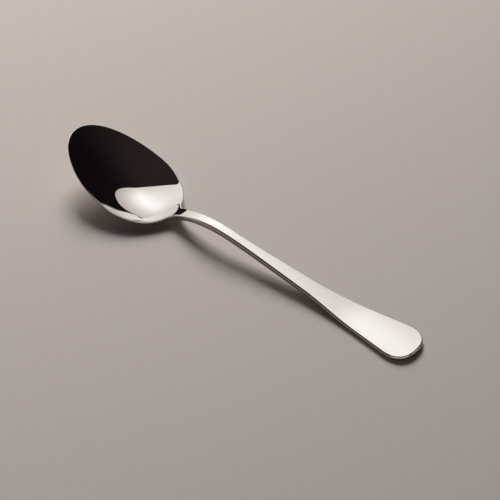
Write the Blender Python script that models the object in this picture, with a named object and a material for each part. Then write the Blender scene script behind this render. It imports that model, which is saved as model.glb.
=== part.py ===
"""Dessert spoon pressed from one steel blank, as two solids: its bowl and its handle.

The spoon lies on the table as it would when put down: on the underside of the bowl and on the flat
underside of the handle's end. +X runs from the bowl to the handle's end, +Z is up, in metres.
Places along the spoon ("along") are measured from the tip of the bowl.
"""
import math

import bmesh
import bpy

SPOON_LENGTH = 0.185

# The bowl from above is two half ellipses that meet on its widest line.
BOWL_HALF_WIDTH = 0.0197
TIP_REACH = 0.03178
HEEL_REACH = 0.0241
BOWL_DEPTH = 0.00633
# 0 gives the dish straight sides down to a point, more makes it a rounder basin.
BOWL_ROUNDNESS = 0.914
RIM_THICKNESS = 0.00134
LIP_ROUND = 0.00094
LIP_HALF_WIDTH = 0.01855
LIP_FADE_RUN = 0.0173

# The handle from above: a narrow stem that flares twice into a paddle with a round end.
NECK_HALF_WIDTH = 0.0022
NECK_FILLET = 0.0063
STEM_FLARE_FROM_END = 0.1021
STEM_FLARE_RUN = 0.0246
STEM_FLARE_SLOPE = 0.0509
PADDLE_FLARE_FROM_END = 0.0590
PADDLE_FLARE_RUN = 0.0130
PADDLE_FLARE_SLOPE = 0.0815
END_ROUND = 0.01152
END_SQUARENESS = 2.25
STEM_THICKNESS = 0.0030
END_THICKNESS = 0.0023
NECK_SWELL_RUN = 0.0120
END_THIN_RUN = 0.0500
CROWN_SLOPE = 0.1
CROWN_RUN = 0.0200

# The side view: slopes that the edge line gains, and where each bend starts and how long it runs.
FOOT_LENGTH = 0.0254
FOOT_BEND_RUN = 0.0184
HUMP_BEND = -0.7875
HUMP_BEFORE_HEEL = 0.0135
HUMP_BEND_RUN = 0.04899
HEEL_BEND = 0.8612
HEEL_BEND_PAST_HEEL = 0.0059
HEEL_BEND_RUN = 0.01653
RIM_BEND = 0.2848
RIM_BEND_RUN = 0.04787

# Bowl and handle are one piece of steel. The solids part here with a hair of room between them.
PART_LINE_PAST_HEEL = 0.0045
PART_GAP = 0.0003

EDGE_RADIUS = 0.0006
EDGE_STEPS = 2
MERGE_DISTANCE = 0.00001
TIP_STATIONS = 12
HEEL_STATIONS = 14
NECK_STATIONS = 4
STEM_STATIONS = 44
END_STATIONS = 10
BOWL_CELLS_ACROSS = 14
HANDLE_CELLS_ACROSS = 4

STEEL_COLOUR = (0.60, 0.58, 0.56, 1.0)
STEEL_ROUGHNESS = 0.08

BOWL_LENGTH = TIP_REACH + HEEL_REACH
PART_LINE = BOWL_LENGTH + PART_LINE_PAST_HEEL


def eased_step(along, start, run):
    """0 before start, 1 after start + run, with a smooth passage between."""
    share = min(max((along - start) / run, 0.0), 1.0)
    return share * share * (3.0 - 2.0 * share)


def eased_bend(along, start, run):
    """Height gained along a line whose slope turns smoothly from 0 to 1 within the run."""
    share = min(max((along - start) / run, 0.0), 1.0)
    past = max(along - start - run, 0.0)
    return run * (share ** 3 - share ** 4 / 2.0) + past


def soft_max(first, second, blend):
    """The larger of two values, with the corner between them rounded off."""
    return (first + second + math.hypot(first - second, blend)) / 2.0


def run_share(along, inset=0.0):
    """Place along the bowl as a share of its reach: 0 on the widest line, 1 at tip and heel."""
    reach = TIP_REACH if along < TIP_REACH else HEEL_REACH
    return (along - TIP_REACH) / (reach - inset)


def flare(along):
    """Half width of the stem and paddle, as if the handle had no round end."""
    width = NECK_HALF_WIDTH
    stem_start = SPOON_LENGTH - STEM_FLARE_FROM_END
    paddle_start = SPOON_LENGTH - PADDLE_FLARE_FROM_END
    width += STEM_FLARE_SLOPE * eased_bend(along, stem_start, STEM_FLARE_RUN)
    width += PADDLE_FLARE_SLOPE * eased_bend(along, paddle_start, PADDLE_FLARE_RUN)
    return width


def crown(along, across):
    """Height of the handle's slightly domed top over its edges."""
    width = flare(along)
    grown = eased_step(along, BOWL_LENGTH, CROWN_RUN)
    return grown * CROWN_SLOPE / 2.0 * max(width - across * across / width, 0.0)


def handle_half_width(along, inset):
    """Half width of the stem and paddle, closed by the round end, moved in by inset."""
    width = flare(along) - inset
    share = (along - SPOON_LENGTH + END_ROUND) / (END_ROUND - inset)
    share = min(max(share, 0.0), 1.0)
    return width * (1.0 - share ** END_SQUARENESS) ** (1.0 / END_SQUARENESS)


def half_width(along, inset):
    """Half width of the whole outline, moved in by inset: bowl, handle and the fillet between them."""
    egg_square = (BOWL_HALF_WIDTH - inset) ** 2 * (1.0 - run_share(along, inset) ** 2)
    if along < TIP_REACH:
        return math.sqrt(max(egg_square, 0.0))
    handle = handle_half_width(along, inset)
    fade = eased_step(along, SPOON_LENGTH - END_ROUND, END_ROUND - inset)
    return math.sqrt(soft_max(egg_square, handle * handle, NECK_FILLET ** 2 * (1.0 - fade)))


def dish(along, across):
    """Depth of the bowl below its rim. The lip towards the handle is rounded, the rim is crisp."""
    out = math.hypot(run_share(along), across / BOWL_HALF_WIDTH)
    climb = math.hypot(out, BOWL_ROUNDNESS) - BOWL_ROUNDNESS
    full_climb = math.hypot(1.0, BOWL_ROUNDNESS) - BOWL_ROUNDNESS
    fall = BOWL_DEPTH * (1.0 - climb / full_climb)
    if along < TIP_REACH:
        return max(fall, 0.0)
    lip = LIP_ROUND * math.exp(-(across / LIP_HALF_WIDTH) ** 2)
    lip *= eased_step(along, TIP_REACH, HEEL_REACH) - eased_step(along, BOWL_LENGTH, LIP_FADE_RUN)
    return soft_max(fall, 0.0, lip)


def thickness(along):
    """Metal under the edge line: thin at the rim, stout in the stem, thinner again at the end."""
    thin_start = SPOON_LENGTH - FOOT_LENGTH - FOOT_BEND_RUN - END_THIN_RUN
    metal = RIM_THICKNESS
    metal += (STEM_THICKNESS - RIM_THICKNESS) * eased_step(along, PART_LINE - NECK_SWELL_RUN, NECK_SWELL_RUN)
    metal += (END_THICKNESS - STEM_THICKNESS) * eased_step(along, thin_start, END_THIN_RUN)
    return metal


def foot_rise(along):
    """Height gained for each unit of slope that the foot bend gives the stem."""
    return eased_bend(SPOON_LENGTH - along, FOOT_LENGTH, FOOT_BEND_RUN)


def edge_height(along, stem_slope):
    """Height of the rim and of the handle's top face, built up from the handle's end."""
    from_end = SPOON_LENGTH - along
    hump_start = SPOON_LENGTH - BOWL_LENGTH + HUMP_BEFORE_HEEL - HUMP_BEND_RUN
    heel_start = SPOON_LENGTH - BOWL_LENGTH - HEEL_BEND_PAST_HEEL
    rim_start = SPOON_LENGTH - RIM_BEND_RUN
    height = END_THICKNESS + stem_slope * foot_rise(along)
    height += HUMP_BEND * eased_bend(from_end, hump_start, HUMP_BEND_RUN)
    height += HEEL_BEND * eased_bend(from_end, heel_start, HEEL_BEND_RUN)
    height += RIM_BEND * eased_bend(from_end, rim_start, RIM_BEND_RUN)
    return height


def edge_drop(along, inset):
    """How far a rounded edge falls away at a place inset from the outline."""
    inset = max(min(inset, along, SPOON_LENGTH - along), 0.0)
    short = max(EDGE_RADIUS - inset, 0.0)
    return EDGE_RADIUS - math.sqrt(EDGE_RADIUS ** 2 - short ** 2)


def top_height(along, across, inset, stem_slope):
    """Height of the upper surface: the edge line, with the handle's dome, less the bowl's dish."""
    domed = edge_height(along, stem_slope) + crown(along, across)
    return domed - dish(along, across) - edge_drop(along, inset)


def under_height(along, across, inset, stem_slope):
    """Height of the lower surface: the edge line, less the metal and the bowl's outside."""
    metal = thickness(along) - edge_drop(along, inset)
    return edge_height(along, stem_slope) - dish(along, across) - metal


def spaced(first, last, steps):
    """Evenly spaced places after first, up to and with last."""
    return [first + (last - first) * step / steps for step in range(1, steps + 1)]


def edge_insets():
    """Insets from the outline at which a rounded edge has its lines, outermost first."""
    turns = [0.0] + spaced(0.0, math.pi / 2.0, EDGE_STEPS)
    return [EDGE_RADIUS * (1.0 - math.cos(turn)) for turn in turns]


def bowl_stations():
    """Places along the bowl, close together where the outline turns across the spoon."""
    quarter = math.pi / 2.0
    inner_reach = TIP_REACH - EDGE_RADIUS
    stations = edge_insets()
    stations += [TIP_REACH - inner_reach * math.cos(turn) for turn in spaced(0.0, quarter, TIP_STATIONS)]
    stations += [TIP_REACH + HEEL_REACH * math.sin(turn) for turn in spaced(0.0, quarter, HEEL_STATIONS)]
    return stations + spaced(BOWL_LENGTH, PART_LINE, NECK_STATIONS)


def handle_stations():
    """Places along the handle, close together in its round end."""
    quarter = math.pi / 2.0
    start = PART_LINE + PART_GAP
    round_start = SPOON_LENGTH - END_ROUND
    stations = [start] + spaced(start, round_start, STEM_STATIONS)
    inner_round = END_ROUND - EDGE_RADIUS
    stations += [round_start + inner_round * math.sin(turn) for turn in spaced(0.0, quarter, END_STATIONS)]
    return stations + [SPOON_LENGTH - inset for inset in edge_insets()[-2::-1]]


def resting_slope():
    """Slope of the stem at which the bowl's underside just touches the table."""
    slopes = [-under_height(along, 0.0, EDGE_RADIUS, 0.0) / foot_rise(along) for along in bowl_stations()]
    return max(slopes)


def lines_across(along, cells):
    """Places across the spoon at one station, each with its inset from the outline."""
    edge = [(half_width(along, inset), inset) for inset in edge_insets()]
    inner = edge[-1][0]
    inside = [(inner * (2.0 * cell / cells - 1.0), EDGE_RADIUS) for cell in range(1, cells)]
    return [(-across, inset) for across, inset in edge] + inside + edge[::-1]


def shape_sheet(mesh, stations, cells, stem_slope):
    """Lay a grid out as the upper surface and pull a copy of it down as the lower surface."""
    rows = [lines_across(along, cells) for along in stations]
    row_length = len(rows[0])
    bmesh.ops.create_grid(mesh, x_segments=row_length - 1, y_segments=len(stations) - 1, size=1.0)
    inset_layer = mesh.verts.layers.float.new("inset")
    mesh.verts.ensure_lookup_table()
    for vertex in mesh.verts:
        station, line = divmod(vertex.index, row_length)
        vertex.co.x = stations[station]
        vertex.co.y, vertex[inset_layer] = rows[station][line]
    lower = bmesh.ops.extrude_face_region(mesh, geom=mesh.faces[:])["geom"]
    lower = {item for item in lower if isinstance(item, bmesh.types.BMVert)}
    for vertex in mesh.verts:
        surface = under_height if vertex in lower else top_height
        vertex.co.z = surface(vertex.co.x, vertex.co.y, vertex[inset_layer], stem_slope)
    mesh.verts.layers.float.remove(inset_layer)


def make_steel():
    """Bright polished stainless steel."""
    steel = bpy.data.materials.new("polished_steel")
    steel.use_nodes = True
    shader = steel.node_tree.nodes["Principled BSDF"]
    shader.inputs["Base Color"].default_value = STEEL_COLOUR
    shader.inputs["Metallic"].default_value = 1.0
    shader.inputs["Roughness"].default_value = STEEL_ROUGHNESS
    return steel


def make_solid(name, stations, cells, stem_slope, steel):
    """One closed solid of the spoon between its first and last station."""
    mesh = bmesh.new()
    shape_sheet(mesh, stations, cells, stem_slope)
    bmesh.ops.remove_doubles(mesh, verts=mesh.verts[:], dist=MERGE_DISTANCE)
    bmesh.ops.dissolve_degenerate(mesh, edges=mesh.edges[:], dist=MERGE_DISTANCE)
    bmesh.ops.recalc_face_normals(mesh, faces=mesh.faces[:])
    bmesh.ops.triangulate(mesh, faces=mesh.faces[:])
    data = bpy.data.meshes.new(name)
    mesh.to_mesh(data)
    mesh.free()
    data.materials.append(steel)
    solid = bpy.data.objects.new(name, data)
    solid.location.x = -SPOON_LENGTH / 2.0
    bpy.context.scene.collection.objects.link(solid)


def main():
    for old in list(bpy.data.objects):
        bpy.data.objects.remove(old)
    steel = make_steel()
    stem_slope = resting_slope()
    make_solid("bowl", bowl_stations(), BOWL_CELLS_ACROSS, stem_slope, steel)
    make_solid("handle", handle_stations(), HANDLE_CELLS_ACROSS, stem_slope, steel)
    print(f"stem slope on the table {stem_slope:.4f}")


main()
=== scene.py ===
"""Dessert spoon in mirror-polished stainless steel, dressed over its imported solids.

The spoon is one seamless skin from the bowl's tip to the handle's end, in the solids' own sizes.
Places along the spoon ("along") are measured from the tip of the bowl, in metres.
"""
import math
from typing import NamedTuple

import bmesh
import bpy
from bpy.props import FloatProperty, FloatVectorProperty, IntProperty, PointerProperty
from mathutils import Matrix, Vector


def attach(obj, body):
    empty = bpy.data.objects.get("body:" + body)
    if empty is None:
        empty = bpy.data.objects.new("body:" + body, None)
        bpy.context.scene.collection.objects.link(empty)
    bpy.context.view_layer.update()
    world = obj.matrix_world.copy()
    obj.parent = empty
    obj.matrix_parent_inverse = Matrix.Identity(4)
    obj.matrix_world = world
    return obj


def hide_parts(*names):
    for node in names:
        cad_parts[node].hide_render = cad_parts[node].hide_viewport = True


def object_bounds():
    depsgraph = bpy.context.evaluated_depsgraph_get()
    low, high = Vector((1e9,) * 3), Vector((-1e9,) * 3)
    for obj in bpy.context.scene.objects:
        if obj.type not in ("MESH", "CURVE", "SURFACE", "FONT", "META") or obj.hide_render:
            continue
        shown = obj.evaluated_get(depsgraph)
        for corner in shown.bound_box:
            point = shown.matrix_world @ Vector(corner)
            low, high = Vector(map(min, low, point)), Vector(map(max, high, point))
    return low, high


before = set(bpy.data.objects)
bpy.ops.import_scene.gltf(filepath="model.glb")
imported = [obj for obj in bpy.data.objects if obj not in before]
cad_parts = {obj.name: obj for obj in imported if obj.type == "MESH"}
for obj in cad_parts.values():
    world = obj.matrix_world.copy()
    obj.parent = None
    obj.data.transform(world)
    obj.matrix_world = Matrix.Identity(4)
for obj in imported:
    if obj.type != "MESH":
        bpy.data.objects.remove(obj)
CAD_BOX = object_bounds()
CAD_LOW = Vector(CAD_BOX[0])
CAD_HIGH = Vector(CAD_BOX[1])

bl_info = {
    "name": "Dessert spoon",
    "version": (1, 0, 0),
    "blender": (4, 5, 0),
    "location": "3D View > Sidebar > Spoon",
    "description": "Builds a polished steel dessert spoon and the small studio that shows it",
    "category": "Add Mesh",
}

BODY = "root"
# Side of the square photo, in pixels.
PHOTO_SIDE = 500
# Points of the skin that lie closer than this are one point, in metres.
MERGE_DISTANCE = 0.000001
# Places under the bowl at which its rest on the table is tried.
RESTING_STEPS = 200
QUARTER = math.pi / 2.0
SOFTBOX_SIDES = 96
UPWARD = Vector((0.0, 0.0, 1.0))

# Sockets of a Mix node that hold its two colours and its result.
MIX_FIRST = 6
MIX_SECOND = 7
MIX_RESULT = 2

# Share of a noise's range that is spread over a pattern's low and high values.
NOISE_LOW = 0.3
NOISE_HIGH = 0.7
# How many finer layers each noise has.
LINE_DETAIL = 2.0
HAZE_DETAIL = 1.0
MOTTLE_DETAIL = 4.0
# How far past the heel the neck's close stations reach, in neck fillets.
NECK_FILLETS = 3.0


class Wall(NamedTuple):
    """A pale wall that the steel mirrors, in degrees. The turn is from the camera's side to its right."""

    turn: float
    half_width: float
    height: float
    softness: float


# The last wall is low and lies ahead on the right: the bowl's near side shows it as a pale tip.
WALLS = (
    Wall(turn=2.0, half_width=52.0, height=46.0, softness=8.0),
    Wall(turn=-110.0, half_width=34.0, height=42.0, softness=8.0),
    Wall(turn=78.0, half_width=20.0, height=22.0, softness=8.0),
    Wall(turn=167.5, half_width=13.0, height=9.5, softness=2.5),
)


def length(name, description, default):
    """A size that a user can change, in metres."""
    return FloatProperty(
        name=name, description=description, default=default, min=0.0, precision=5, unit="LENGTH"
    )


def ratio(name, description, default):
    """A plain number that a user can change."""
    return FloatProperty(name=name, description=description, default=default, precision=4)


def angle(name, description, degrees):
    """An angle that a user can change."""
    return FloatProperty(
        name=name, description=description, default=math.radians(degrees), subtype="ANGLE"
    )


def pair(name, description, default, unit="NONE"):
    """Two numbers that a user can change."""
    return FloatVectorProperty(
        name=name, description=description, default=default, size=2, precision=4, unit=unit
    )


def colour(name, description, hex_code):
    """A colour that a user can change, given as an sRGB hex code."""
    return FloatVectorProperty(
        name=name, description=description, default=linear(hex_code),
        size=4, min=0.0, max=1.0, subtype="COLOR",
    )


def linear(hex_code):
    """The linear RGBA values of an sRGB hex code."""
    values = []
    for start in (0, 2, 4):
        share = int(hex_code[start:start + 2], 16) / 255.0
        values.append(share / 12.92 if share <= 0.04045 else ((share + 0.055) / 1.055) ** 2.4)
    return (*values, 1.0)


class SpoonSizes(bpy.types.PropertyGroup):
    """The spoon's own sizes, as its solids have them."""

    spoon_length: length("Length", "Bowl tip to handle end", CAD_HIGH.x - CAD_LOW.x)
    bowl_half_width: length("Bowl half width", "Half of the bowl's widest line", 0.0197)
    tip_reach: length("Tip reach", "Widest line to the tip", 0.03178)
    heel_reach: length("Heel reach", "Widest line to the heel", 0.0241)
    bowl_depth: length("Bowl depth", "Rim to the bottom of the dish", 0.00633)
    bowl_roundness: ratio("Bowl roundness", "0 is a pointed dish, more is a rounder basin", 0.914)
    rim_thickness: length("Rim thickness", "Metal at the rim", 0.00134)
    lip_round: length("Lip round", "Rounding where the bowl runs up into the handle", 0.00094)
    lip_half_width: length("Lip half width", "How far the lip's rounding reaches to each side", 0.01855)
    lip_fade_run: length("Lip fade", "Length over which the lip runs out on the stem", 0.0173)
    neck_half_width: length("Neck half width", "Half of the stem's width at the neck", 0.0022)
    neck_fillet: length("Neck fillet", "Rounding between the bowl's outline and the stem", 0.0063)
    neck_full: length("Neck full", "Heel to where the stem has its full metal", 0.0045)
    stem_flare_from_end: length("Stem flare from end", "Handle end to where the stem starts to widen", 0.1021)
    stem_flare_run: length("Stem flare run", "Length over which the stem turns outwards", 0.0246)
    stem_flare_slope: ratio("Stem flare slope", "Widening of the stem to each side", 0.0509)
    paddle_flare_from_end: length("Paddle flare from end", "Handle end to the start of the paddle", 0.0590)
    paddle_flare_run: length("Paddle flare run", "Length over which the paddle turns outwards", 0.0130)
    paddle_flare_slope: ratio("Paddle flare slope", "Further widening of the paddle to each side", 0.0815)
    end_round: length("End round", "Length of the handle's round end", 0.01152)
    end_squareness: ratio("End squareness", "2 is an ellipse, more is squarer", 2.25)
    stem_thickness: length("Stem thickness", "Metal in the stem", 0.0030)
    end_thickness: length("End thickness", "Metal at the handle's end", 0.0023)
    neck_swell_run: length("Neck swell", "Length over which the rim's metal grows to the stem's", 0.0120)
    end_thin_run: length("End thinning", "Length over which the stem's metal thins to the end's", 0.0500)
    foot_length: length("Foot length", "Part of the handle that lies flat on the table", 0.0254)
    foot_bend_run: length("Foot bend run", "Length of the bend above the foot", 0.0184)
    hump_bend: ratio("Hump bend", "Slope gained over the stem's hump", -0.7875)
    hump_before_heel: length("Hump before heel", "Heel to where the hump's bend ends", 0.0135)
    hump_bend_run: length("Hump bend run", "Length of the hump's bend", 0.04899)
    heel_bend: ratio("Heel bend", "Slope gained where the stem meets the bowl", 0.8612)
    heel_bend_past_heel: length("Heel bend past heel", "Heel to where the heel's bend starts", 0.0059)
    heel_bend_run: length("Heel bend run", "Length of the heel's bend", 0.01653)
    rim_bend: ratio("Rim bend", "Slope gained along the rim to the tip", 0.2848)
    rim_bend_run: length("Rim bend run", "Length of the rim's bend", 0.04787)
    crown_slope: ratio("Crown slope", "Slope of the handle's domed top at its edges", 0.1)
    crown_run: length("Crown run", "Length over which the dome grows from the heel on", 0.0200)
    edge_radius: length("Edge radius", "Radius of the polished edges", 0.0006)


class SpoonMesh(bpy.types.PropertyGroup):
    """How finely the skin is divided."""

    tip_steps: IntProperty(name="Tip", description="Stations in the front half of the bowl", default=64)
    heel_steps: IntProperty(name="Heel", description="Stations in the back half of the bowl", default=64)
    neck_steps: IntProperty(name="Neck", description="Stations in the neck", default=28)
    stem_steps: IntProperty(name="Stem", description="Stations in the stem and paddle", default=110)
    end_steps: IntProperty(name="End", description="Stations in the handle's round end", default=40)
    edge_steps: IntProperty(name="Edge", description="Steps in each rounded edge", default=6)
    cells_across: IntProperty(name="Across", description="Cells across, inside the rim", default=56)


class SpoonSteel(bpy.types.PropertyGroup):
    """The steel's finish, and the painted shade on its side faces."""

    steel_colour: colour("Steel", "Reflection of polished stainless steel", "E2DFDC")
    roughness: ratio("Roughness", "Blur of the reflections", 0.025)
    line_length: length("Line length", "Length of the polishing lines", 0.012)
    line_width: length("Line width", "Width of the polishing lines", 0.0003)
    line_contrast: ratio("Line contrast", "Share of the roughness by which the lines differ", 0.3)
    haze_size: length("Haze size", "Size of the duller patches", 0.018)
    haze_contrast: ratio("Haze contrast", "Share of the roughness that the duller patches add", 0.6)
    # Painted shade: a darker colour for the side faces, standing in for the shadowed floor and dark room that
    # they mirror.
    side_shade_colour: colour("Side", "Reflection of the ground side faces", "A99F99")
    side_roughness: ratio("Side roughness", "Further blur on the ground side faces", 0.3)
    # The side faces' painted shade and their extra blur start at this upward part of the normal.
    side_start: ratio("Side start", "Upward part of the normal at which the ground sides start", 0.4)


class StudioSettings(bpy.types.PropertyGroup):
    """Camera, light and floor. Shares of a distance are given as right and up from an axis."""

    camera_azimuth: angle("Azimuth", "Camera's turn about the spoon", 37.69)
    camera_elevation: angle("Elevation", "Camera's height angle", 46.0)
    camera_distance: length("Distance", "Camera to the middle of the spoon", 1.2)
    pixels_per_metre: ratio("Scale", "Photo pixels for a metre at the spoon", 2326.0)
    middle_pixel: pair("Middle pixel", "Where the middle of the spoon lies in the photo", (241.5, 255.95))
    softbox_elevation: angle("Softbox elevation", "Height angle that the softbox faces", 48.0)
    softbox_distance: length("Softbox distance", "Bowl to the softbox's plane", 0.7)
    softbox_reach: pair("Softbox reach", "Half of its width and height, as shares", (0.71, 0.66))
    softbox_offset: pair("Softbox offset", "Its middle, as shares of its distance", (-0.139, -0.135))
    cloth_colour: colour("Cloth", "Warm white of the softbox's weaker parts", "FFF7EF")
    lamp_colour: colour("Lamp", "White of the cloth in front of the lamp", "FFFFFF")
    softbox_glow: ratio("Softbox glow", "Brightness of the softbox's cloth", 0.654)
    softbox_lean: ratio("Softbox lean", "Brightness gained over a distance's length to the left", 0.399)
    hot_spot: pair("Hot spot", "Its middle, as shares of the softbox's distance", (0.05, -0.027))
    hot_spot_turn: angle("Hot spot turn", "Slant of its crest from upright", -20.3)
    hot_spot_reach: pair("Hot spot reach", "Its spread across and along the crest, as shares", (0.27, 0.363))
    hot_spot_fall: pair("Hot spot fall", "2 is a smooth bell, less is a crest: across and along", (1.47, 2.0))
    hot_spot_glow: ratio("Hot spot glow", "Further brightness in front of the lamp", 0.717)
    table_light_distance: length("Table light distance", "Bowl to the light on the table", 1.4)
    core_offset: pair("Core offset", "Middle of the lamp's core, as shares of the distance", (-0.06, -0.12))
    core_aim: pair("Core aim", "Right of the bowl and nearer, where the core points", (-1.6, 0.38), "LENGTH")
    core_radius: ratio("Core radius", "Lamp's bright core, as a share of the distance", 0.3)
    core_glow: ratio("Core glow", "Light of the core on the table", 13.6)
    cloth_glow: ratio("Cloth glow", "Light of the whole cloth on the table", 0.4)
    room_colour: colour("Room", "Warm dark room", "FFDFE4")
    room_glow: ratio("Room glow", "Light from the dark parts of the room", 0.0045)
    ceiling_glow: ratio("Ceiling glow", "Light from the room's ceiling", 0.0267)
    dark_side_turn: angle("Dark side turn", "Turn from +X to the room's darkest side", 60.0)
    dark_side_rise: angle("Dark side rise", "Height angle of the room's darkest side", 20.0)
    wall_colour: colour("Wall", "Off-white walls", "F4F0EC")
    wall_glow: ratio("Wall glow", "Walls as the steel mirrors them", 0.75)
    backdrop_glow: ratio("Backdrop glow", "What the camera sees past the tabletop", 0.45)
    floor_reach: length("Floor reach", "Middle of the tabletop to its edges", 4.0)
    floor_colour: colour("Floor", "Warm grey tabletop", "D9CEC7")
    floor_mottle: length("Floor mottle", "Size of the tabletop's faint mottle", 0.004)
    floor_contrast: ratio("Floor contrast", "Strength of the tabletop's faint mottle", 0.012)
    floor_roughness: ratio("Floor roughness", "Blur of the tabletop's weak gloss", 0.6)
    floor_gloss: ratio("Floor gloss", "Strength of the tabletop's weak gloss", 0.2)


def eased_step(along, start, run):
    """0 before start, 1 after start + run, with a smooth passage between."""
    share = min(max((along - start) / run, 0.0), 1.0)
    return share * share * (3.0 - 2.0 * share)


def eased_bend(along, start, run):
    """Height gained along a line whose slope turns smoothly from 0 to 1 within the run."""
    share = min(max((along - start) / run, 0.0), 1.0)
    past = max(along - start - run, 0.0)
    return run * (share ** 3 - share ** 4 / 2.0) + past


def soft_max(first, second, blend):
    """The larger of two values, with the corner between them rounded off."""
    return (first + second + math.hypot(first - second, blend)) / 2.0


def spaced(first, last, steps):
    """Evenly spaced places after first, up to and with last."""
    return [first + (last - first) * step / steps for step in range(1, steps + 1)]


class SpoonForm:
    """The spoon's surfaces, worked out from its sizes."""

    def __init__(self, sizes):
        self.size = sizes
        self.bowl_length = sizes.tip_reach + sizes.heel_reach
        self.stem_slope = self.resting_slope()

    def run_share(self, along, inset=0.0):
        """Place along the bowl as a share of its reach: 0 on the widest line, 1 at tip and heel."""
        size = self.size
        reach = size.tip_reach if along < size.tip_reach else size.heel_reach
        return (along - size.tip_reach) / (reach - inset)

    def flare(self, along):
        """Half width of the stem and paddle, as if the handle had no round end."""
        size = self.size
        stem_start = size.spoon_length - size.stem_flare_from_end
        paddle_start = size.spoon_length - size.paddle_flare_from_end
        width = size.neck_half_width
        width += size.stem_flare_slope * eased_bend(along, stem_start, size.stem_flare_run)
        width += size.paddle_flare_slope * eased_bend(along, paddle_start, size.paddle_flare_run)
        return width

    def crown(self, along, across):
        """Height of the handle's slightly domed top over its edges."""
        size = self.size
        width = self.flare(along)
        grown = eased_step(along, self.bowl_length, size.crown_run)
        return grown * size.crown_slope / 2.0 * max(width - across * across / width, 0.0)

    def handle_half_width(self, along, inset):
        """Half width of the stem and paddle, closed by the round end, moved in by inset."""
        size = self.size
        width = self.flare(along) - inset
        share = (along - size.spoon_length + size.end_round) / (size.end_round - inset)
        share = min(max(share, 0.0), 1.0)
        return max(width, 0.0) * (1.0 - share ** size.end_squareness) ** (1.0 / size.end_squareness)

    def half_width(self, along, inset):
        """Half width of the whole outline: the bowl, the handle and the fillet between them."""
        size = self.size
        egg_square = 1.0 - self.run_share(along, inset) ** 2
        egg_square *= (size.bowl_half_width - inset) ** 2
        if along < size.tip_reach:
            return math.sqrt(max(egg_square, 0.0))
        handle = self.handle_half_width(along, inset)
        fade = eased_step(along, size.spoon_length - size.end_round, size.end_round - inset)
        return math.sqrt(soft_max(egg_square, handle * handle, size.neck_fillet ** 2 * (1.0 - fade)))

    def dish(self, along, across):
        """Depth of the bowl below its rim. The lip towards the handle is rounded, the rim is crisp."""
        size = self.size
        out = math.hypot(self.run_share(along), across / size.bowl_half_width)
        climb = math.hypot(out, size.bowl_roundness) - size.bowl_roundness
        full_climb = math.hypot(1.0, size.bowl_roundness) - size.bowl_roundness
        fall = size.bowl_depth * (1.0 - climb / full_climb)
        lip = size.lip_round * math.exp(-(across / size.lip_half_width) ** 2)
        lip *= eased_step(along, size.tip_reach, size.heel_reach)
        lip *= 1.0 - eased_step(along, self.bowl_length, size.lip_fade_run)
        return soft_max(fall, 0.0, lip)

    def thickness(self, along):
        """Metal under the edge line: thin at the rim, stout in the stem, thinner again at the end."""
        size = self.size
        neck_start = self.bowl_length + size.neck_full - size.neck_swell_run
        end_start = size.spoon_length - size.foot_length - size.foot_bend_run - size.end_thin_run
        swell = size.stem_thickness - size.rim_thickness
        thinning = size.stem_thickness - size.end_thickness
        metal = size.rim_thickness
        metal += swell * eased_step(along, neck_start, size.neck_swell_run)
        metal -= thinning * eased_step(along, end_start, size.end_thin_run)
        return metal

    def foot_rise(self, along):
        """Height gained for each unit of slope that the foot bend gives the stem."""
        size = self.size
        return eased_bend(size.spoon_length - along, size.foot_length, size.foot_bend_run)

    def arch(self, along):
        """Height of the edge line with a level stem: the hump, the heel and the rim."""
        size = self.size
        from_end = size.spoon_length - along
        heel_from_end = size.spoon_length - self.bowl_length
        hump_start = heel_from_end + size.hump_before_heel - size.hump_bend_run
        heel_start = heel_from_end - size.heel_bend_past_heel
        rim_start = size.spoon_length - size.rim_bend_run
        height = size.end_thickness
        height += size.hump_bend * eased_bend(from_end, hump_start, size.hump_bend_run)
        height += size.heel_bend * eased_bend(from_end, heel_start, size.heel_bend_run)
        height += size.rim_bend * eased_bend(from_end, rim_start, size.rim_bend_run)
        return height

    def resting_slope(self):
        """Slope of the stem at which the bowl's underside just touches the table."""
        slopes = []
        for along in spaced(0.0, self.bowl_length, RESTING_STEPS):
            under = self.arch(along) - self.thickness(along) - self.dish(along, 0.0)
            slopes.append(-under / self.foot_rise(along))
        return max(slopes)

    def edge_height(self, along):
        """Height of the rim and of the handle's top face."""
        return self.arch(along) + self.stem_slope * self.foot_rise(along)

    def edge_insets(self, steps):
        """Insets from the outline at which a rounded edge has its lines, outermost first."""
        turns = [0.0] + spaced(0.0, QUARTER, steps)
        return [self.size.edge_radius * (1.0 - math.cos(turn)) for turn in turns]

    def edge_drop(self, along, inset):
        """How far a rounded edge falls away at a place inset from the outline."""
        radius = self.size.edge_radius
        inset = max(min(inset, along, self.size.spoon_length - along), 0.0)
        short = max(radius - inset, 0.0)
        return radius - math.sqrt(radius ** 2 - short ** 2)

    def top_height(self, along, across, inset):
        """Height of the upper surface: the edge line, with the handle's dome, less the bowl's dish."""
        domed = self.edge_height(along) + self.crown(along, across)
        return domed - self.dish(along, across) - self.edge_drop(along, inset)

    def under_height(self, along, across, inset):
        """Height of the lower surface: the edge line, less the metal and the bowl's outside."""
        metal = self.thickness(along) - self.edge_drop(along, inset)
        return self.edge_height(along) - self.dish(along, across) - metal


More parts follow.
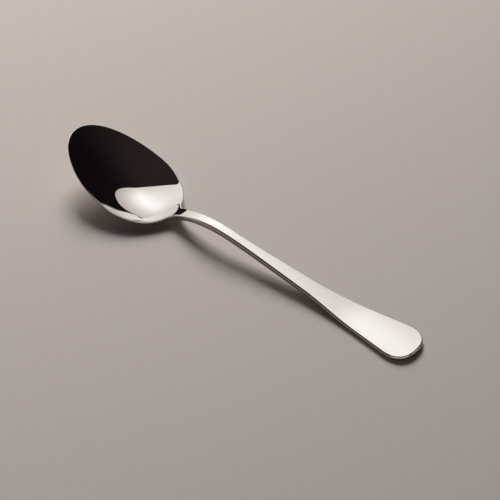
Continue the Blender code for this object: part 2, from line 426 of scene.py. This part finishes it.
def stations(form, mesh):
    """Places along the spoon, close together where the outline turns across it."""
    size = form.size
    insets = form.edge_insets(mesh.edge_steps)
    inner_tip = size.tip_reach - size.edge_radius
    inner_round = size.end_round - size.edge_radius
    neck_end = form.bowl_length + size.neck_fillet * NECK_FILLETS
    round_start = size.spoon_length - size.end_round
    places = list(insets)
    for turn in spaced(0.0, QUARTER, mesh.tip_steps):
        places.append(size.tip_reach - inner_tip * math.cos(turn))
    for turn in spaced(0.0, QUARTER, mesh.heel_steps):
        places.append(size.tip_reach + size.heel_reach * math.sin(turn))
    places += spaced(form.bowl_length, neck_end, mesh.neck_steps)
    places += spaced(neck_end, round_start, mesh.stem_steps)
    for turn in spaced(0.0, QUARTER, mesh.end_steps):
        places.append(round_start + inner_round * math.sin(turn))
    return places + [size.spoon_length - inset for inset in insets[-2::-1]]


def lines_across(form, along, mesh):
    """Places across the spoon at one station, each with its inset from the outline."""
    insets = form.edge_insets(mesh.edge_steps)
    edge = [(form.half_width(along, inset), inset) for inset in insets]
    inner, radius = edge[-1]
    inside = []
    for cell in range(1, mesh.cells_across):
        turn = QUARTER * (2.0 * cell / mesh.cells_across - 1.0)
        inside.append((inner * math.sin(turn), radius))
    return [(-across, inset) for across, inset in edge] + inside + edge[::-1]


def make_skin(form, mesh):
    """Lay a grid out as the upper surface, pull a copy of it down as the lower one, close it."""
    places = stations(form, mesh)
    rows = [lines_across(form, along, mesh) for along in places]
    row_length = len(rows[0])
    skin = bmesh.new()
    bmesh.ops.create_grid(skin, x_segments=row_length - 1, y_segments=len(places) - 1, size=1.0)
    inset_layer = skin.verts.layers.float.new("inset")
    skin.verts.ensure_lookup_table()
    for vertex in skin.verts:
        station, line = divmod(vertex.index, row_length)
        vertex.co.x = places[station]
        vertex.co.y, vertex[inset_layer] = rows[station][line]
    lower = bmesh.ops.extrude_face_region(skin, geom=skin.faces[:])["geom"]
    lower = {item for item in lower if isinstance(item, bmesh.types.BMVert)}
    for vertex in skin.verts:
        surface = form.under_height if vertex in lower else form.top_height
        vertex.co.z = surface(vertex.co.x, vertex.co.y, vertex[inset_layer])
    bmesh.ops.remove_doubles(skin, verts=skin.verts[:], dist=MERGE_DISTANCE)
    bmesh.ops.dissolve_degenerate(skin, edges=skin.edges[:], dist=MERGE_DISTANCE)
    bmesh.ops.translate(skin, verts=skin.verts[:], vec=(CAD_LOW.x, 0.0, 0.0))
    bmesh.ops.recalc_face_normals(skin, faces=skin.faces[:])
    for face in skin.faces:
        face.smooth = True
    skin.verts.layers.float.remove(inset_layer)
    return skin


def place(name, skin, material):
    """Turn a finished bmesh into an object in the scene."""
    data = bpy.data.meshes.new(name)
    skin.to_mesh(data)
    skin.free()
    data.materials.append(material)
    piece = bpy.data.objects.new(name, data)
    bpy.context.scene.collection.objects.link(piece)
    return piece


def add_node(tree, kind, settings=None, links=None):
    """Add a node, set its attributes and inputs, and link inputs to outputs of other nodes."""
    node = tree.nodes.new(kind)
    for key, value in (settings or {}).items():
        if isinstance(key, int) or key in node.inputs:
            node.inputs[key].default_value = value
        else:
            setattr(node, key, value)
    for key, source in (links or {}).items():
        tree.links.new(source, node.inputs[key])
    return node


def new_material(name):
    """An empty node material and its tree, with the shader and the output joined."""
    material = bpy.data.materials.new(name)
    material.use_nodes = True
    shader = material.node_tree.nodes["Principled BSDF"]
    return material, material.node_tree, shader


def stretched_noise(tree, grain, detail, low, high):
    """Noise from low to high, whose grain has its own length along, across and upwards, in metres."""
    spot = add_node(tree, "ShaderNodeTexCoord").outputs["Object"]
    fineness = Vector(1.0 / side for side in grain)
    scaled = add_node(tree, "ShaderNodeVectorMath", {"operation": "MULTIPLY", 1: fineness}, {0: spot})
    noise = add_node(
        tree, "ShaderNodeTexNoise", {"Scale": 1.0, "Detail": detail}, {"Vector": scaled.outputs[0]}
    )
    limits = {"From Min": NOISE_LOW, "From Max": NOISE_HIGH, "To Min": low, "To Max": high}
    ranged = add_node(tree, "ShaderNodeMapRange", limits, {"Value": noise.outputs["Fac"]})
    return ranged.outputs["Result"]


def side_share(tree, start):
    """1 on the upright side faces, 0 where the normal's upward part has reached start."""
    normal = add_node(tree, "ShaderNodeTexCoord").outputs["Normal"]
    parts = add_node(tree, "ShaderNodeSeparateXYZ", {}, {0: normal})
    upward = add_node(tree, "ShaderNodeMath", {"operation": "ABSOLUTE"}, {0: parts.outputs["Z"]})
    limits = {"From Max": start, "To Min": 1.0, "To Max": 0.0}
    ranged = add_node(tree, "ShaderNodeMapRange", limits, {"Value": upward.outputs[0]})
    return ranged.outputs["Result"]


def polished_stainless_steel(steel):
    """Stainless steel, pressed and mirror polished: sharp reflections that haze a little in use."""
    material, tree, shader = new_material("polished_stainless_steel")
    shader.inputs["Metallic"].default_value = 1.0
    # Polishing lines along the spoon soften the mirrored edges unevenly. Real ones are too fine to
    # show, so they are drawn coarser.
    grain = (steel.line_length, steel.line_width, steel.line_width)
    smoothest = steel.roughness * (1.0 - steel.line_contrast)
    roughest = steel.roughness * (1.0 + steel.line_contrast)
    lines = stretched_noise(tree, grain, LINE_DETAIL, smoothest, roughest)
    # Patches that are wiped and handled are a touch duller.
    duller = steel.roughness * steel.haze_contrast
    haze = stretched_noise(tree, (steel.haze_size,) * 3, HAZE_DETAIL, 0.0, duller)
    polish = add_node(tree, "ShaderNodeMath", {"operation": "ADD"}, {0: lines, 1: haze})
    # Painted shade: the narrow side faces get a darker grey that stands in for the shadowed floor and dark
    # room they mirror. Being ground, not polished, they are also softer.
    side = side_share(tree, steel.side_start)
    tint = add_node(
        tree, "ShaderNodeMix",
        {"data_type": "RGBA", MIX_FIRST: steel.steel_colour, MIX_SECOND: steel.side_shade_colour}, {0: side},
    )
    blur = add_node(
        tree, "ShaderNodeMath", {"operation": "MULTIPLY_ADD", 1: steel.side_roughness},
        {0: side, 2: polish.outputs[0]},
    )
    tree.links.new(tint.outputs[MIX_RESULT], shader.inputs["Base Color"])
    tree.links.new(blur.outputs[0], shader.inputs["Roughness"])
    return material


class SPOON_OT_steel_spoon(bpy.types.Operator):
    """Build the spoon as one seamless piece of polished steel"""

    bl_idname = "spoon.steel_spoon"
    bl_label = "Steel spoon"

    def execute(self, context):
        scene = context.scene
        form = SpoonForm(scene.spoon_sizes)
        skin = make_skin(form, scene.spoon_mesh)
        spoon = place("spoon", skin, polished_stainless_steel(scene.spoon_steel))
        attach(spoon, BODY)
        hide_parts("bowl", "handle")
        return {"FINISHED"}


class SPOON_OT_studio(bpy.types.Operator):
    """Set up the tabletop, the softbox and the camera"""

    bl_idname = "spoon.studio"
    bl_label = "Studio"

    def execute(self, context):
        studio = context.scene.studio_settings
        bowl = Vector((CAD_LOW.x + context.scene.spoon_sizes.tip_reach, 0.0, 0.0))
        make_floor(studio)
        make_softbox(studio, bowl)
        core = make_table_light(studio, bowl, "table_light_core", studio.core_offset, studio.core_radius)
        core.data.energy *= studio.core_glow
        aim_light(core, studio, bowl, studio.core_aim)
        cloth_radius = studio.softbox_reach[0]
        cloth = make_table_light(studio, bowl, "table_light_cloth", studio.softbox_offset, cloth_radius)
        cloth.data.energy *= studio.cloth_glow
        aim_light(cloth, studio, bowl, (0.0, 0.0))
        make_room(studio)
        make_camera(context.scene, studio)
        context.scene.view_settings.view_transform = "Standard"
        return {"FINISHED"}


def matt_laminate(studio):
    """Matt laminate tabletop: warm grey with a faint mottle, no clear reflections."""
    material, tree, shader = new_material("matt_laminate")
    low = 1.0 - studio.floor_contrast
    high = 1.0 + studio.floor_contrast
    tone = stretched_noise(tree, (studio.floor_mottle,) * 3, MOTTLE_DETAIL, low, high)
    tint = add_node(
        tree, "ShaderNodeVectorMath", {"operation": "SCALE", 0: studio.floor_colour[:3]}, {"Scale": tone}
    )
    tree.links.new(tint.outputs[0], shader.inputs["Base Color"])
    shader.inputs["Roughness"].default_value = studio.floor_roughness
    shader.inputs["Specular IOR Level"].default_value = studio.floor_gloss
    return material


def make_floor(studio):
    """A plain tabletop."""
    table = bmesh.new()
    bmesh.ops.create_grid(table, x_segments=1, y_segments=1, size=studio.floor_reach)
    floor = place("tabletop", table, matt_laminate(studio))


def view_axes(studio):
    """Right, up and backward directions of the camera."""
    turn = studio.camera_azimuth
    rise = studio.camera_elevation
    back = Vector((math.sin(turn) * math.cos(rise), -math.cos(turn) * math.cos(rise), math.sin(rise)))
    right = Vector((math.cos(turn), math.sin(turn), 0.0))
    return right, back.cross(right), back


def make_camera(scene, studio):
    """The photo's camera: its angle, its scale and where the spoon lies in the frame."""
    right, up, back = view_axes(studio)
    across = PHOTO_SIDE / 2.0 - studio.middle_pixel[0]
    above = studio.middle_pixel[1] - PHOTO_SIDE / 2.0
    target = (right * across + up * above) / studio.pixels_per_metre
    camera = bpy.data.objects.new("camera", bpy.data.cameras.new("camera"))
    camera.location = target + back * studio.camera_distance
    camera.rotation_euler = back.to_track_quat("Z", "Y").to_euler()
    frame_width = PHOTO_SIDE / studio.pixels_per_metre
    camera.data.lens = camera.data.sensor_width * studio.camera_distance / frame_width
    scene.collection.objects.link(camera)
    scene.camera = camera


def softbox_axes(studio):
    """Right and up directions of the softbox's face, and its axis from the bowl."""
    right = view_axes(studio)[0]
    ahead = UPWARD.cross(right)
    rise = studio.softbox_elevation
    axis = ahead * math.cos(rise) + UPWARD * math.sin(rise)
    return right, right.cross(axis), axis


def softbox_point(studio, bowl, distance, offset):
    """A point on the softbox's plane at a distance from the bowl."""
    right, up, axis = softbox_axes(studio)
    return bowl + (axis + right * offset[0] + up * offset[1]) * distance


def make_softbox(studio, bowl):
    """The round softbox as the polished steel mirrors it: bright cloth with a hot spot."""
    axis = softbox_axes(studio)[2]
    distance = studio.softbox_distance
    disc = bmesh.new()
    bmesh.ops.create_circle(disc, cap_ends=True, segments=SOFTBOX_SIDES, radius=distance)
    bmesh.ops.scale(disc, vec=(*studio.softbox_reach, 1.0), verts=disc.verts[:])
    centre = softbox_point(studio, bowl, distance, studio.softbox_offset)
    turn = axis.to_track_quat("Z", "Y").to_matrix().to_4x4()
    bmesh.ops.transform(disc, matrix=Matrix.Translation(centre) @ turn, verts=disc.verts[:])
    softbox = place("softbox_cloth", disc, lit_diffusing_cloth(studio, bowl))
    softbox.visible_camera = False
    softbox.visible_diffuse = False
    softbox.visible_shadow = False


def hot_spot_share(tree, studio, from_middle):
    """1 along the crest of the slanting hot spot, falling off to its sides and ends."""
    right, up = softbox_axes(studio)[:2]
    turn = studio.hot_spot_turn
    across = right * math.cos(turn) + up * math.sin(turn)
    along = up * math.cos(turn) - right * math.sin(turn)
    parts = []
    for direction, reach, fall in zip((across, along), studio.hot_spot_reach, studio.hot_spot_fall):
        unit = direction / (math.sqrt(2.0) * reach * studio.softbox_distance)
        offset = add_node(
            tree, "ShaderNodeVectorMath", {"operation": "DOT_PRODUCT", 1: unit}, {0: from_middle}
        )
        apart = add_node(tree, "ShaderNodeMath", {"operation": "ABSOLUTE"}, {0: offset.outputs["Value"]})
        part = add_node(tree, "ShaderNodeMath", {"operation": "POWER", 1: fall}, {0: apart.outputs[0]})
        parts.append(part.outputs[0])
    away = add_node(tree, "ShaderNodeMath", {"operation": "ADD"}, {0: parts[0], 1: parts[1]})
    falling = {"operation": "POWER", 0: math.exp(-1.0)}
    return add_node(tree, "ShaderNodeMath", falling, {1: away.outputs[0]}).outputs[0]


def lit_diffusing_cloth(studio, bowl):
    """White diffusing cloth lit from behind: brightest before its lamp, weaker towards its right."""
    material = bpy.data.materials.new("lit_diffusing_cloth")
    material.use_nodes = True
    tree = material.node_tree
    tree.nodes.clear()
    right = softbox_axes(studio)[0]
    distance = studio.softbox_distance
    middle = softbox_point(studio, bowl, distance, studio.hot_spot)
    spot = add_node(tree, "ShaderNodeTexCoord").outputs["Object"]
    from_middle = add_node(
        tree, "ShaderNodeVectorMath", {"operation": "SUBTRACT", 1: middle}, {0: spot}
    ).outputs[0]
    hot = hot_spot_share(tree, studio, from_middle)
    slope = right * -studio.softbox_lean / distance
    lean = add_node(tree, "ShaderNodeVectorMath", {"operation": "DOT_PRODUCT", 1: slope}, {0: from_middle})
    cloth = add_node(
        tree, "ShaderNodeMath", {"operation": "ADD", 1: studio.softbox_glow}, {0: lean.outputs["Value"]}
    )
    glow = add_node(
        tree, "ShaderNodeMath", {"operation": "MULTIPLY_ADD", 1: studio.hot_spot_glow},
        {0: hot, 2: cloth.outputs[0]},
    ).outputs[0]
    full_glow = studio.softbox_glow + studio.hot_spot_glow
    whiteness = add_node(
        tree, "ShaderNodeMapRange", {"From Min": studio.softbox_glow, "From Max": full_glow}, {"Value": glow}
    )
    tint = add_node(
        tree, "ShaderNodeMix",
        {"data_type": "RGBA", MIX_FIRST: studio.cloth_colour, MIX_SECOND: studio.lamp_colour},
        {0: whiteness.outputs["Result"]},
    )
    light = add_node(
        tree, "ShaderNodeEmission", {}, {"Color": tint.outputs[MIX_RESULT], "Strength": glow}
    )
    add_node(tree, "ShaderNodeOutputMaterial", {}, {"Surface": light.outputs[0]})
    return material


def make_table_light(studio, bowl, name, offset, radius):
    """One round lamp of the softbox's light on the table. The steel doesn't mirror it."""
    distance = studio.table_light_distance
    lamp = bpy.data.lights.new(name, "AREA")
    lamp.shape = "DISK"
    lamp.size = 2.0 * radius * distance
    lamp.energy = (math.pi * radius * distance) ** 2
    light = bpy.data.objects.new(name, lamp)
    light.location = softbox_point(studio, bowl, distance, offset)
    light.visible_glossy = False
    light.visible_camera = False
    bpy.context.scene.collection.objects.link(light)
    return light


def aim_light(light, studio, bowl, aim):
    """Point a lamp at a place on the table, given as right of the bowl and nearer than it."""
    right = view_axes(studio)[0]
    nearer = right.cross(UPWARD)
    target = bowl + right * aim[0] + nearer * aim[1]
    light.rotation_euler = (light.location - target).to_track_quat("Z", "Y").to_euler()


def wall_share(tree, studio, wall, level, upward):
    """1 where a direction meets a pale wall, 0 elsewhere, with soft edges."""
    turn = studio.camera_azimuth + math.radians(wall.turn)
    side = math.radians(wall.half_width)
    top = math.radians(wall.height)
    soft = math.radians(wall.softness)
    toward = Vector((math.sin(turn), -math.cos(turn), 0.0))
    facing = add_node(tree, "ShaderNodeVectorMath", {"operation": "DOT_PRODUCT", 1: toward}, {0: level})
    limits = (
        (facing.outputs["Value"], math.cos(side), math.cos(side - soft)),
        (upward, math.sin(top), math.sin(top - soft)),
    )
    shares = {}
    for socket, (value, outer, inner) in enumerate(limits):
        settings = {"interpolation_type": "SMOOTHSTEP", "From Min": outer, "From Max": inner}
        shares[socket] = add_node(tree, "ShaderNodeMapRange", settings, {"Value": value}).outputs["Result"]
    return add_node(tree, "ShaderNodeMath", {"operation": "MULTIPLY"}, shares).outputs[0]


def room_light(tree, studio, direction, upward):
    """Light from the dark room: less dark overhead, and darkest on one side."""
    turn = studio.dark_side_turn
    rise = studio.dark_side_rise
    dark_side = Vector((math.cos(turn) * math.cos(rise), math.sin(turn) * math.cos(rise), math.sin(rise)))
    facing = add_node(
        tree, "ShaderNodeVectorMath", {"operation": "DOT_PRODUCT", 1: dark_side}, {0: direction}
    )
    near = add_node(
        tree, "ShaderNodeMath", {"operation": "MAXIMUM", 1: 0.0}, {0: facing.outputs["Value"]}
    ).outputs[0]
    dark = add_node(tree, "ShaderNodeMath", {"operation": "MULTIPLY"}, {0: near, 1: near})
    lit = add_node(tree, "ShaderNodeMath", {"operation": "SUBTRACT", 0: 1.0}, {1: dark.outputs[0]})
    overhead = add_node(tree, "ShaderNodeMath", {"operation": "MULTIPLY"}, {0: lit.outputs[0], 1: upward})
    glow = add_node(
        tree, "ShaderNodeMapRange", {"To Min": studio.room_glow, "To Max": studio.ceiling_glow},
        {"Value": overhead.outputs[0]},
    )
    return glow.outputs["Result"]


def make_room(studio):
    """For the steel a dark room with pale walls. For the camera a plain backdrop."""
    world = bpy.data.worlds.new("dim_room")
    bpy.context.scene.world = world
    world.use_nodes = True
    tree = world.node_tree
    direction = add_node(tree, "ShaderNodeTexCoord").outputs["Generated"]
    upward = add_node(tree, "ShaderNodeSeparateXYZ", {}, {0: direction}).outputs["Z"]
    flat = add_node(
        tree, "ShaderNodeVectorMath", {"operation": "MULTIPLY", 1: (1.0, 1.0, 0.0)}, {0: direction}
    )
    level = add_node(tree, "ShaderNodeVectorMath", {"operation": "NORMALIZE"}, {0: flat.outputs[0]})
    room = tree.nodes["Background"]
    room.inputs["Color"].default_value = studio.room_colour
    tree.links.new(room_light(tree, studio, direction, upward), room.inputs["Strength"])
    pale = add_node(
        tree, "ShaderNodeBackground", {"Color": studio.wall_colour, "Strength": studio.wall_glow}
    )
    backdrop = add_node(
        tree, "ShaderNodeBackground", {"Color": studio.wall_colour, "Strength": studio.backdrop_glow}
    )
    walled = room
    for wall in WALLS:
        share = wall_share(tree, studio, wall, level.outputs[0], upward)
        walled = add_node(
            tree, "ShaderNodeMixShader", {}, {0: share, 1: walled.outputs[0], 2: pale.outputs[0]}
        )
    # The tabletop is lit by the dark room alone, the steel also mirrors the walls, and the camera sees
    # a backdrop.
    seen = room
    path = add_node(tree, "ShaderNodeLightPath")
    for ray, shader in (("Is Glossy Ray", walled), ("Is Camera Ray", backdrop)):
        seen = add_node(
            tree, "ShaderNodeMixShader", {},
            {0: path.outputs[ray], 1: seen.outputs[0], 2: shader.outputs[0]},
        )
    tree.links.new(seen.outputs[0], tree.nodes["World Output"].inputs["Surface"])


class SPOON_PT_sidebar(bpy.types.Panel):
    """The spoon's tools and sizes"""

    bl_idname = "SPOON_PT_sidebar"
    bl_label = "Dessert spoon"
    bl_space_type = "VIEW_3D"
    bl_region_type = "UI"
    bl_category = "Spoon"

    def draw(self, context):
        layout = self.layout
        for operator in (SPOON_OT_steel_spoon, SPOON_OT_studio):
            layout.operator(operator.bl_idname)
        scene = context.scene
        for group in (scene.spoon_sizes, scene.spoon_mesh, scene.spoon_steel, scene.studio_settings):
            for name in group.__annotations__:
                layout.prop(group, name)


CLASSES = (
    SpoonSizes, SpoonMesh, SpoonSteel, StudioSettings,
    SPOON_OT_steel_spoon, SPOON_OT_studio, SPOON_PT_sidebar,
)


def register():
    """Make the tools and their settings known to Blender."""
    for item in CLASSES:
        bpy.utils.register_class(item)
    bpy.types.Scene.spoon_sizes = PointerProperty(type=SpoonSizes)
    bpy.types.Scene.spoon_mesh = PointerProperty(type=SpoonMesh)
    bpy.types.Scene.spoon_steel = PointerProperty(type=SpoonSteel)
    bpy.types.Scene.studio_settings = PointerProperty(type=StudioSettings)


def unregister():
    """Take the tools and their settings away again."""
    del bpy.types.Scene.studio_settings
    del bpy.types.Scene.spoon_steel
    del bpy.types.Scene.spoon_mesh
    del bpy.types.Scene.spoon_sizes
    for item in reversed(CLASSES):
        bpy.utils.unregister_class(item)


def main():
    """Build the spoon and its studio."""
    register()
    bpy.ops.spoon.steel_spoon()
    bpy.ops.spoon.studio()


if __name__ == "__main__":
    main()
